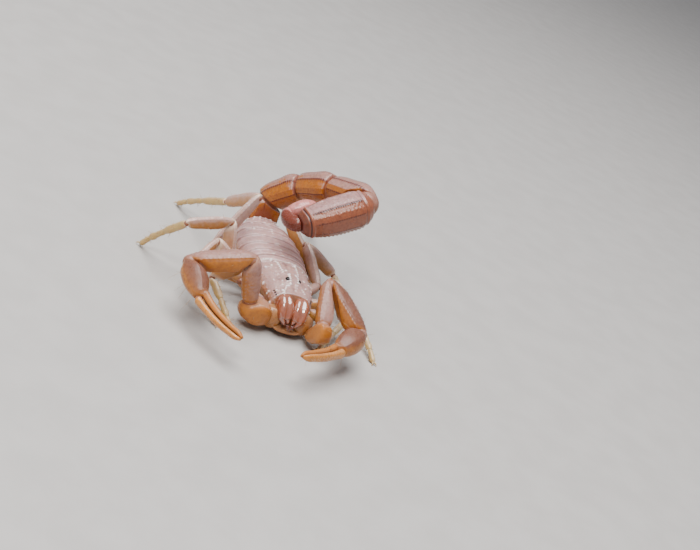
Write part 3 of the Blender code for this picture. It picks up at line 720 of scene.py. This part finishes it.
HAIR_RADIUS = 0.0035
BALL_SHARE, BALL_LIMIT = 0.36, 0.36  # soft skin in a joint, as a share of a width up to a limit
ROUNDING = 0.30  # share of the radius by which a cut end draws in
soft_joints = bmesh.new()
hairs = bmesh.new()
random.seed(7)


def ridges(angle, along, rows, width, spacing):
    """How far beaded ridges along a limb stand out at an angle. Each row is an angle and a height."""
    total = 0.0
    for row, height in rows:
        total += height * hill((angle - row + 180) % 360 - 180, width)
    return total * (0.45 + 0.55 * beads(along, spacing))


def limb_relief(rows, share, dark, spacing=0.06, width=6.0, size=0.05, grain=0.009):
    """Beaded ridges along a limb, darker or brighter than the rest, and granules between them."""
    def relief(spot, angle, along):
        ridge = ridges(angle, along, rows, width, spacing)
        fine = granules(spot, size, share) * grain
        top = max((height for _, height in rows), default=1.0)
        return (ridge + fine + 0.004 * noise.noise(spot * 9), dark * ridge / top,
                min(1.0, 45 * fine + (1 - dark) * ridge / top))
    return relief


def palm_relief(spot, angle, along):
    """Faint keels on the hand, and a dark beaded edge inside its finger, widened into a band of painted
    shade where the two fingers meet.
    """
    on_finger = ramp(along - 0.45, 0.1)
    inner = hill(angle - 180, 30) * on_finger
    keel = (hill(angle - 60, 7) + hill(angle - 120, 7)) * (1 - on_finger) * 0.007
    fine = granules(spot, 0.05, 0.10) * 0.006 * (1 - on_finger)
    row = 0.012 * inner * beads(along, 0.018)
    return row + keel + fine + 0.003 * noise.noise(spot * 8), inner, min(1.0, 50 * fine + 20 * keel)


def finger_relief(spot, angle, along):
    """A dark beaded edge that meets the one on the hand's own finger, widened into a band of painted
    shade between them.
    """
    inner = hill((angle + 180) % 360 - 180, 30)
    return 0.012 * inner * beads(along, 0.028) + 0.003 * noise.noise(spot * 8), inner, 0.0


def limb(bm, segment, width, height, profile, rings, sides, relief, squareness=SQUARENESS, top=0.5):
    """A loft along one limb segment. The profile gives a share of the width and height at each place."""
    wide = Curve(*[(along, w) for along, w, _ in profile])
    high = Curve(*[(along, h) for along, _, h in profile])
    made = []
    for along in steps(profile[0][0], profile[-1][0], rings):
        made.append((segment.at(along), segment.front, segment.up, width * wide(along) / 2,
                     height * high(along) * top, height * high(along) * (1 - top)))
    return loft(bm, made, sides, squareness, relief)


def end(bm, verts, joint, own_axis, next_axis, reach=0.10, mark=1.0):
    """Cut a limb on the plane that halves its joint with the next one, round the end off over its
    reach, and mark it for the joint colour."""
    normal = (own_axis + next_axis).normalized()
    point = joint - normal * GAP / 2
    verts = [vert for vert in verts if vert.is_valid]
    edges = distinct(edge for vert in verts for edge in vert.link_edges)
    faces = distinct(face for vert in verts for face in vert.link_faces)
    cut = bmesh.ops.bisect_plane(bm, geom=verts + edges + faces, dist=1e-6, plane_co=point,
                                 plane_no=normal, clear_outer=True)["geom_cut"]
    bmesh.ops.holes_fill(bm, edges=[item for item in cut if isinstance(item, bmesh.types.BMEdge)])
    mine = [vert for vert in verts if vert.is_valid]
    mine += [item for item in cut if isinstance(item, bmesh.types.BMVert)]
    edge = bm.verts.layers.float["edge"]
    for vert in mine:
        depth = (point - vert.co).dot(normal) / reach
        if depth < 1.0:
            away = vert.co - point
            radial = away - own_axis * away.dot(own_axis)
            vert.co -= radial * ROUNDING * (1 - sqrt(max(1 - (1 - depth) ** 2, 0.0)))
        vert[edge] = max(vert[edge], mark * max(0.0, 1 - abs(depth) * 0.8))
    return mine


def chained(root, side, stretches):
    """Segments joined end to end. Each stretch is a length, a yaw and a pitch."""
    made = []
    for length, yaw, pitch in stretches:
        made.append(Segment(root, side, length, yaw, pitch))
        root = made[-1].at(1)
    return made


def finger_rings(finger, spread, start, count):
    """Sections of a bowed finger that stands off the middle line by the spread."""
    _, width, height = ARM["finger"]
    return [finger.ring(along, width * FINGER_WIDE(along), height * FINGER_HIGH(along),
                        spread * FINGER_WIDE(along) - FINGER_BOW * sin(pi * along))
            for along in steps(start, 1.0, count)]


def ball(centre, radius):
    """The soft skin inside a joint."""
    bmesh.ops.create_icosphere(soft_joints, subdivisions=3, radius=radius, matrix=Matrix.Translation(centre))


def hair(root, direction, length):
    """One stiff hair, a slim cone."""
    direction = direction.normalized()
    turned = direction.to_track_quat("Z", "Y").to_matrix().to_4x4()
    bmesh.ops.create_cone(hairs, segments=4, radius1=HAIR_RADIUS, radius2=HAIR_RADIUS / 4, depth=length,
                          cap_ends=True, matrix=Matrix.Translation(root + direction * length / 2) @ turned)


def hairy(segment, width, height, count, length, stop=0.95):
    """Hairs scattered along a limb, leaning towards its end."""
    for _ in range(count):
        along, turn = random.uniform(0.1, stop), random.uniform(0, 2 * pi)
        out = segment.front * cos(turn) + segment.up * sin(turn)
        spot = segment.at(along, cos(turn) * width * 0.46, sin(turn) * height * 0.46)
        hair(spot, out + segment.axis * random.uniform(0.2, 0.8), length * random.uniform(0.6, 1.3))


for side, label in SIDES.items():
    arm = chained(Vector((side * ARM_ROOT[0], ARM_ROOT[1], ARM_ROOT[2])), side,
                  [(ARM[part][0], *bends) for part, bends in zip(ARM, ARM_POSE[side])])
    trochanter, femur, patella, palm, finger = arm
    for segment in (palm, finger):
        segment.turn(HAND_TURN[side])
    inward, shoulder = Vector((-side, 0, 0)), femur.at(SHOULDER)
    ends = (
        ((trochanter.root, inward, inward), (shoulder, femur.axis, femur.axis)),
        ((shoulder, -femur.axis, -femur.axis), (patella.root, femur.axis, patella.axis)),
        ((patella.root, -patella.axis, -femur.axis), (palm.root, patella.axis, palm.axis)),
    )
    for segment, joints, (part, (profile, squareness, rows, lean)) in zip(arm, ends, ARM_SHELLS.items()):
        _, wide, high = ARM[part]
        bm = bmesh.new()
        verts = limb(bm, segment, wide, high, profile, 70, 72, limb_relief(rows, 0.22, 0.35), squareness)
        for joint, own_axis, next_axis in joints:
            verts = end(bm, verts, joint, own_axis, next_axis, mark=ARM_EDGE)
        ball(joint, min(wide, high, BALL_LIMIT) * BALL_SHARE)
        # The left patella takes the hand's finish, whose darker upper faces are painted shade on the arm
        # turned from the light.
        fit(f"arm_{part}_{label}", bm, hand_amber if part == "patella" and side > 0 else arm_amber,
            "arm_amber", f"pedipalp_{part}_{label}", lean=lean[side > 0])
        hairy(segment, wide, high, 10, 0.12)
    _, wide, high = ARM["palm"]
    _, thin, deep = ARM["finger"]
    rings = [palm.ring(along, wide * HAND_WIDE(along), high * HAND_HIGH(along))
             for along in steps(-0.12, 0.93, 46)]
    joined = finger_rings(finger, FINGER_SPREAD, 0.04, 60)
    last, first = rings[-1], joined[0]
    for share in (0.2, 0.4, 0.6, 0.8):  # a smooth passage from the hand to its finger
        ease = share * share * (3 - 2 * share)
        rings.append(tuple(one + (other - one) * (share if n == 0 else ease)
                           for n, (one, other) in enumerate(zip(last, first))))
    bm = bmesh.new()
    verts = loft(bm, rings + joined, 64, relief=palm_relief)
    amber, dark = bm.verts.layers.float["edge"], bm.verts.layers.float["keel"]
    for vert in verts:
        share = ramp((vert.co - palm.at(0.85)).dot(finger.axis), 0.25)
        vert[amber] = FINGER_AMBER * share * (1 - vert[dark])
    end(bm, verts, palm.root, -palm.axis, -patella.axis, mark=ARM_EDGE)
    fit(f"arm_hand_{label}", bm, hand_amber, "arm_amber", f"pedipalp_palm_{label}")
    bm = bmesh.new()
    loft(bm, finger_rings(finger, -FINGER_SPREAD, 0.02, 64), 48, relief=finger_relief)
    fit(f"arm_finger_{label}", bm, finger_amber, "arm_amber", f"movable_finger_{label}")
    ball(finger.at(0.02, -FINGER_SPREAD), thin * 0.6)
    hairy(palm, wide, high, 12, 0.22)
    hairy(finger, thin * 2, deep, 26, 0.10)

# --- Legs ------------
# Four pairs, longer towards the rear. Femur and patella are flat blades with a beaded pale edge; the
# shin and the two foot joints are slim and pale, and the foot ends in two claws that hold the ground.

LEG_ROOT = (0.31, 0.60, 0.89, 1.26)  # distance behind the shield's front
LEG_ROOT_HEIGHT = 0.30
# hip, thigh, knee, shin, tarsus and foot, from the first pair to the last
LEG_LENGTH = ((0.28, 0.68, 0.70, 0.43, 0.35, 0.29), (0.36, 0.82, 0.78, 0.48, 0.38, 0.28),
              (0.50, 0.92, 0.90, 0.62, 0.46, 0.32), (0.72, 1.18, 1.05, 0.80, 0.58, 0.37))
LEG_PARTS = {  # width, height, profile, rings along, corners round, relief
    "hip": (0.16, 0.19, ((-0.25, 0.8, 0.8), (0.3, 1.0, 1.0), (0.8, 1.05, 1.05), (1.0, 0.8, 0.8),
                         (1.08, 0.4, 0.4)), 26, 32, limb_relief(((60, 0.008),), 0.12, 0.2)),
    "thigh": (0.12, 0.26, ((-0.05, 0.5, 0.35), (0.12, 1.0, 0.78), (0.4, 1, 1), (0.85, 1, 0.95),
                           (1.02, 0.9, 0.7), (1.1, 0.6, 0.45)), 56, 40,
              limb_relief(((90, 0.012), (52, 0.010), (128, 0.010), (270, 0.012)), 0.22, 0.2, 0.05, 8)),
    "knee": (0.13, 0.23, ((-0.1, 0.6, 0.45), (0.0, 0.9, 0.7), (0.15, 1, 0.95), (0.6, 1, 1),
                          (0.95, 0.9, 0.75), (1.08, 0.6, 0.45)), 56, 40,
             limb_relief(((90, 0.012), (55, 0.008), (125, 0.008), (270, 0.010)), 0.15, 0.2, 0.05, 8)),
    "shin": (0.11, 0.14, ((-0.08, 0.6, 0.5), (0.04, 1, 0.85), (0.4, 1, 1), (0.9, 0.95, 0.9),
                          (1.02, 0.75, 0.7)), 40, 28, limb_relief(((90, 0.005), (270, 0.006)), 0.10, 0.2)),
    "tarsus": (0.095, 0.11, ((-0.04, 0.5, 0.5), (0.06, 0.8, 0.8), (0.5, 0.95, 0.95), (0.93, 1, 1),
                             (1.02, 0.7, 0.7)), 24, 24, limb_relief((), 0.08, 0.2)),
    "foot": (0.095, 0.11, ((-0.04, 0.5, 0.5), (0.08, 0.75, 0.8), (0.5, 0.9, 0.9), (0.85, 0.85, 0.85),
                           (0.97, 0.5, 0.5)), 20, 24, limb_relief((), 0.05, 0.2)),
}
LEG_POSE = {  # yaw and pitch of hip, thigh and knee, and yaw of the shin
    (-1, 1): ((74, 20), (81, 62), (101, -46), -24),
    (-1, 2): ((97, 18), (113, 36), (40, -25), -33),
    (-1, 3): ((97, 5), (135, 72), (72, -9), 157),
    (-1, 4): ((108, 21), (241, 60), (164, -35), 163),
    (1, 1): ((58, 18), (145, 49), (56, -55), -37),
    (1, 2): ((97, 14), (152, 12), (35, -15), 11),
    (1, 3): ((126, 21), (195, 24), (90, -29), 16),
    (1, 4): ((139, 4), (211, 27), (130, 1), 160),
}
LEG_LEAN = {  # how far the crest colour, partly a painted sky reflection, leans down on thigh and knee, where it isn't the usual
    (-1, 3): (0.25, 0.1), (-1, 4): (0.5, 0.25), (1, 1): (-0.4, -0.3), (1, 2): (-0.4, -0.3),
    (1, 3): (0.35, 0.15), (1, 4): (-0.3, -0.3),
}
USUAL_LEAN = (0.2, -0.2)
LEG_JOINTS = (0.068, 0.052, 0.10, 0.08)  # radius of the soft skin at the root of knee, shin, hip and thigh
FOOT_DROOP = (3, 8)  # how much steeper than the shin the two foot joints are
STEEPEST = -88
SOLE = 0.04  # height of the foot's tip
CLAW_HEIGHT = 0.045
leg_amber = chitin("leg_amber", (0.50, 0.22, 0.05), (0.56, 0.365, 0.315), (0.30, 0.13, 0.08),
                   (0.82, 0.69, 0.62), (0.70, 0.52, 0.40), tone_and_sheen_span=(0.0, 0.6), Roughness=0.36)
leg_pale = chitin("leg_pale", (0.56, 0.36, 0.11), (0.58, 0.44, 0.26), (0.44, 0.27, 0.12),
                  (0.85, 0.74, 0.52), (0.72, 0.52, 0.34), pits=0.00008, depth=0.000004, Roughness=0.38)


def grounded(root, side, yaw, lengths):
    """Shin and foot joints, turned down as far as brings the foot to the floor."""
    def lowered(pitch):
        return chained(root, side, [(length, yaw, max(pitch - droop, STEEPEST))
                                    for length, droop in zip(lengths, (0, *FOOT_DROOP))])
    high, low = 60.0, STEEPEST
    for _ in range(30):
        middle = (high + low) / 2
        if lowered(middle)[-1].at(1).z > SOLE:
            high = middle
        else:
            low = middle
    return lowered(low)


for (side, number), (*bends, shin_yaw) in LEG_POSE.items():
    label, y, lengths = SIDES[side], LEG_ROOT[number - 1], LEG_LENGTH[number - 1]
    flank = side * (HALF_WIDTH(y) * BELLY_SHARE + GAP) + BEND(y)
    hip, thigh, knee = chained(Vector((flank, y, LEG_ROOT_HEIGHT)), side,
                               [(length, *bend) for length, bend in zip(lengths, bends)])
    shin, tarsus, foot = grounded(knee.at(1), side, shin_yaw, lengths[3:])
    thigh_lean, knee_lean = LEG_LEAN.get((side, number), USUAL_LEAN)
    bm = bmesh.new()
    limb(bm, hip, *LEG_PARTS["hip"])
    verts = limb(bm, thigh, *LEG_PARTS["thigh"])
    end(bm, verts, knee.root, thigh.axis, knee.axis, reach=0.07)
    fit(f"leg_{number}_thigh_{label}", bm, leg_amber, "leg_amber", f"leg_{number}_femur_{label}",
        lean=thigh_lean)
    bm = bmesh.new()
    verts = limb(bm, knee, *LEG_PARTS["knee"])
    verts = end(bm, verts, knee.root, -knee.axis, -thigh.axis, reach=0.07)
    end(bm, verts, shin.root, knee.axis, shin.axis, reach=0.06)
    fit(f"leg_{number}_knee_{label}", bm, leg_amber, "leg_amber", f"leg_{number}_patella_{label}",
        lean=knee_lean)
    for segment, radius in zip((knee, shin, hip, thigh), LEG_JOINTS):
        ball(segment.root, radius)
    bm = bmesh.new()
    verts = limb(bm, shin, *LEG_PARTS["shin"])
    end(bm, verts, shin.root, -shin.axis, -knee.axis, reach=0.05)
    limb(bm, tarsus, *LEG_PARTS["tarsus"])
    limb(bm, foot, *LEG_PARTS["foot"])
    heading, tip = Vector((foot.axis.x, foot.axis.y, 0)).normalized(), foot.at(0.92)
    tip.z = max(tip.z, CLAW_HEIGHT)
    for sway in (-32, 32):
        aim = Matrix.Rotation(radians(sway), 3, UP) @ heading
        tongue(bm, tip, (aim + UP * 0.25).normalized(), -UP, 0.13, 0.034, 0.034, 10, 70, 0.12)
    slim, low = LEG_PARTS["tarsus"][:2]
    for sway in (-1, 1):
        aim = (tarsus.axis * 0.8 + tarsus.front * sway * 0.6 - UP * 0.2).normalized()
        tongue(bm, tarsus.at(0.96, sway * slim * 0.3), aim, UP, 0.09, 0.022, 0.022, 8, 0, 0.15)
    fit(f"leg_{number}_foot_{label}", bm, leg_pale, "leg_pale", f"leg_{number}_tarsus_{label}")
    hairy(knee, *LEG_PARTS["knee"][:2], 8, 0.07)
    hairy(shin, *LEG_PARTS["shin"][:2], 14, 0.09)
    hairy(tarsus, slim, low, 14, 0.08)
    hairy(foot, slim, low, 12, 0.06, 0.85)

# --- Tail ------------
# Five stout armoured segments curl up and over the back. Beaded keels run along each; the last one
# is dark, pitted and barrel-shaped, with a hollowed upper face between two sharp keels.

TAIL = (  # length, width, height, share of the height above the axis, yaw, pitch
    (0.62, 0.58, 0.50, 0.42, 176, 62),
    (0.74, 0.60, 0.54, 0.42, 55, 47),
    (0.78, 0.60, 0.56, 0.42, 30, 30),
    (0.84, 0.60, 0.54, 0.42, 30, 15),
    (1.34, 0.66, 0.62, 0.30, -74, -27),
)
TWIST = -8  # turn of the last segment about its axis
CAP_END = 1.04  # where its rear cap ends, as a share of its length
TAIL_SQUARENESS = 2.7
TAIL_EDGE = 0.7  # strength of the joint colour at the cut ends
SHORT = ((-0.3, 0.45, 0.45), (-0.12, 0.75, 0.75), (0.05, 0.88, 0.88), (0.5, 1, 0.98), (0.9, 0.98, 1),
         (1.1, 0.75, 0.75), (1.25, 0.4, 0.4))
BARREL = ((-0.06, 0.5, 0.5), (0.0, 0.72, 0.72), (0.12, 0.92, 0.92), (0.4, 1, 1), (0.75, 0.91, 0.9),
          (0.93, 0.76, 0.74), (0.97, 0.72, 0.70), (1.0, 0.60, 0.58), (1.1, 0.5, 0.5))
tail_amber = chitin("tail_amber", (0.43, 0.135, 0.012), (0.39, 0.208, 0.170), (0.10, 0.02, 0.015),
                    (0.66, 0.46, 0.38), (0.20, 0.045, 0.02), flecks=0.8, tone_and_sheen_span=(0.35, 0.62),
                    Roughness=0.32, Specular_IOR_Level=0.4)
tail_red = chitin("tail_red", (0.29, 0.085, 0.038), (0.41, 0.220, 0.205), (0.05, 0.010, 0.010),
                  (0.46, 0.21, 0.15), (0.15, 0.025, 0.015), pits=0.00016, depth=0.000010, flecks=0.5,
                  tone_and_sheen_span=(0.84, 0.93), Roughness=0.36)

tail = chained(Vector((0.0, TRUNK_END, 0.46)), 1, [(length, *bends) for length, _, _, _, *bends in TAIL])
axes = [Vector((0, 1, 0))] + [segment.axis for segment in tail]
for segment, before, after in zip(tail, axes, axes[2:] + [-tail[-2].axis]):
    segment.face(after - before)
last = tail[-1]
last.face(Matrix.Rotation(radians(TWIST), 3, last.axis) @ last.up)
axes.append(last.axis)
TAIL_ROWS = ((50, 0.020), (130, 0.020), (22, 0.010), (158, 0.010), (-8, 0.020), (188, 0.020), (-52, 0.014),
             (232, 0.014))
short_relief = limb_relief(TAIL_ROWS, 0.20, 1.0, 0.04, 4.5, 0.06, 0.006)
BARREL_ROWS = ((56, 0.022), (124, 0.022), (10, 0.010), (170, 0.010), (-28, 0.018), (208, 0.018),
               (-74, 0.012), (254, 0.012))


def barrel_relief(spot, angle, along):
    """Sharp beaded keels, a smooth hollow upper face, and blunt granules in rows on the sides."""
    ridge = ridges(angle, along, BARREL_ROWS, 4.0, 0.030)
    body = ramp(along - 0.17, 0.03) * ramp(0.83 - along, 0.03)
    hollow = hill(angle - 90, 22) * 0.02
    side_face = ramp(abs(angle - 90) - 34, 8) * body
    fine = granules(spot, 0.06, 0.45) * side_face * 0.010
    bumps = hill(min(abs(angle - 231), abs(angle - 309)), 3.0) * hill(beads(along, 0.050) - 1, 0.6) * body
    pit = granules(spot + Vector((2, 7, 4)), 0.06, 0.15) * side_face
    rim = hill(along - 0.13, 0.018) * 0.015 + hill(along - 0.845, 0.014) * 0.018
    groove = 0.5 * hill(along - 0.165, 0.010) + hill(along - 0.868, 0.010)
    height = ridge * body + fine + 0.014 * bumps - 0.006 * pit - hollow + rim - 0.012 * groove
    dark = 75 * ridge * body * (1 - 0.3 * beads(along, 0.030)) + groove + 0.35 * pit
    dark += 0.45 * ramp(along - 0.875, 0.02)
    return height, min(1.0, dark), min(1.0, 40 * fine + 0.6 * bumps)


for i, (segment, (_, wide, high, top, *_)) in enumerate(zip(tail, TAIL)):
    barrel = segment is last
    form = (BARREL, 150, 128, barrel_relief) if barrel else (SHORT, 90, 112, short_relief)
    look = (tail_red, "tail_red") if barrel else (tail_amber, "tail_amber")
    bm = bmesh.new()
    verts = limb(bm, segment, wide, high, *form, TAIL_SQUARENESS, top)
    verts = end(bm, verts, segment.root, -segment.axis if i else -axes[0], -axes[i], reach=0.035,
                mark=TAIL_EDGE)
    end(bm, verts, segment.at(CAP_END if barrel else 1), segment.axis, axes[i + 2], reach=0.03,
        mark=TAIL_EDGE)
    if barrel:  # its crest colour, partly a painted sky reflection, is a band along the side that faces up
        sky = (UP - segment.axis * segment.axis.z).normalized()
        fit(f"tail_{i + 1}", bm, *look, f"metasoma_{i + 1}", sky=sky, calm=4)
    else:
        fit(f"tail_{i + 1}", bm, *look, f"metasoma_{i + 1}")
    ball(segment.root, wide * 0.38)
    hairy(segment, wide, high * 0.8, 10, 0.09)

# --- Sting ------------
# The last joint is folded back over the tail: a dark narrow neck, a smooth pink bulb that holds the
# venom, and a short curved spine, black-red at its point.

NECK = (0.09, 0.175, 184)  # reach, half height, angle of the fold
NECK_THICK = (0.30, 0.22)  # at its two ends
BULB = (0.56, 0.38, 0.32)  # length, width, height
BARB = (0.26, 12)  # length and curl
BARB_THICK = (0.12, 0.03)
sting_pink = chitin("sting_pink", (0.55, 0.19, 0.155), (0.64, 0.240, 0.225), (0.16, 0.035, 0.02),
                    (0.72, 0.52, 0.48), (0.13, 0.03, 0.016), depth=0.000003, Roughness=0.26)
reach, rise, fold = NECK
start = last.at(CAP_END) + last.axis * GAP / 2
across = last.axis.cross(last.up)


def bend(start, axis, up, reach, rise, angle, thick, count):
    """Round sections along an oval arc that bends from an axis towards up, between two widths."""
    rings = []
    for share in steps(0.0, 1.0, count):
        turn, size = radians(angle) * share, thick[0] + (thick[1] - thick[0]) * share
        centre = start + axis * reach * sin(turn) + up * rise * (1 - cos(turn))
        rings.append((centre, axis.cross(up), up * cos(turn) - axis * sin(turn), *(size / 2,) * 3))
    return rings


def sting_relief(spot, angle, along):
    """A dark neck and point, and two low rows of blunt beads under the bulb."""
    neck, point = ramp(0.36 - along, 0.10), ramp(along - 0.86, 0.06)
    row = 0.010 * (hill(angle - 240, 9) + hill(angle - 300, 9)) * beads(along, 0.03) * (1 - point)
    return row + 0.004 * noise.noise(spot * 10), max(neck * 0.9, point), 0.0


rings = bend(start, last.axis, last.up, reach, rise, fold, NECK_THICK, 40)
turn = radians(fold)
axis, up = last.axis * cos(turn) + last.up * sin(turn), last.up * cos(turn) - last.axis * sin(turn)
start = rings[-1][0]
length, width, height = BULB
swell = Curve((0.0, NECK_THICK[1] / height), (0.12, 0.82), (0.4, 1.0), (0.7, 0.92), (0.92, 0.6),
              (1.0, BARB_THICK[0] / height))
for along in steps(0.02, 0.99, 44):
    rings.append((start + axis * length * along, across, up, width * swell(along) / 2,
                  height * swell(along) / 2, height * swell(along) / 2))
spine, curl = BARB
radius = spine / radians(curl)
rings += bend(start + axis * length, axis, -up, radius, radius, curl, BARB_THICK, 16)
bm = bmesh.new()
loft(bm, rings, 64, 2.2, sting_relief)
fit("sting", bm, sting_pink, "sting_pink", "telson")
for _ in range(24):
    along, turn = random.uniform(0.2, 0.9), random.uniform(0, 2 * pi)
    out = across * cos(turn) + up * sin(turn)
    hair(start + axis * length * along + out * height * swell(along) * 0.48, out + axis * 0.4, 0.10)

# --- Joint skin and hair ------------
# Soft skin fills every limb joint between the hard rims, and stiff tan bristles stand on limbs and
# tail.

joint_skin = chitin("joint_skin", (0.30, 0.105, 0.045), (0.34, 0.16, 0.12), (0.12, 0.04, 0.02),
                    (0.6, 0.4, 0.3), (0.3, 0.1, 0.05), Roughness=0.5)
fit("joint_skin", soft_joints, joint_skin, "shell_under")
bristle = mottled("bristle", 0.0008, (0.30, 0.16, 0.07), (0.55, 0.36, 0.20), 0.00002, 0.000001,
                  Roughness=0.42)
fit("bristles", hairs, bristle, "leg_pale")
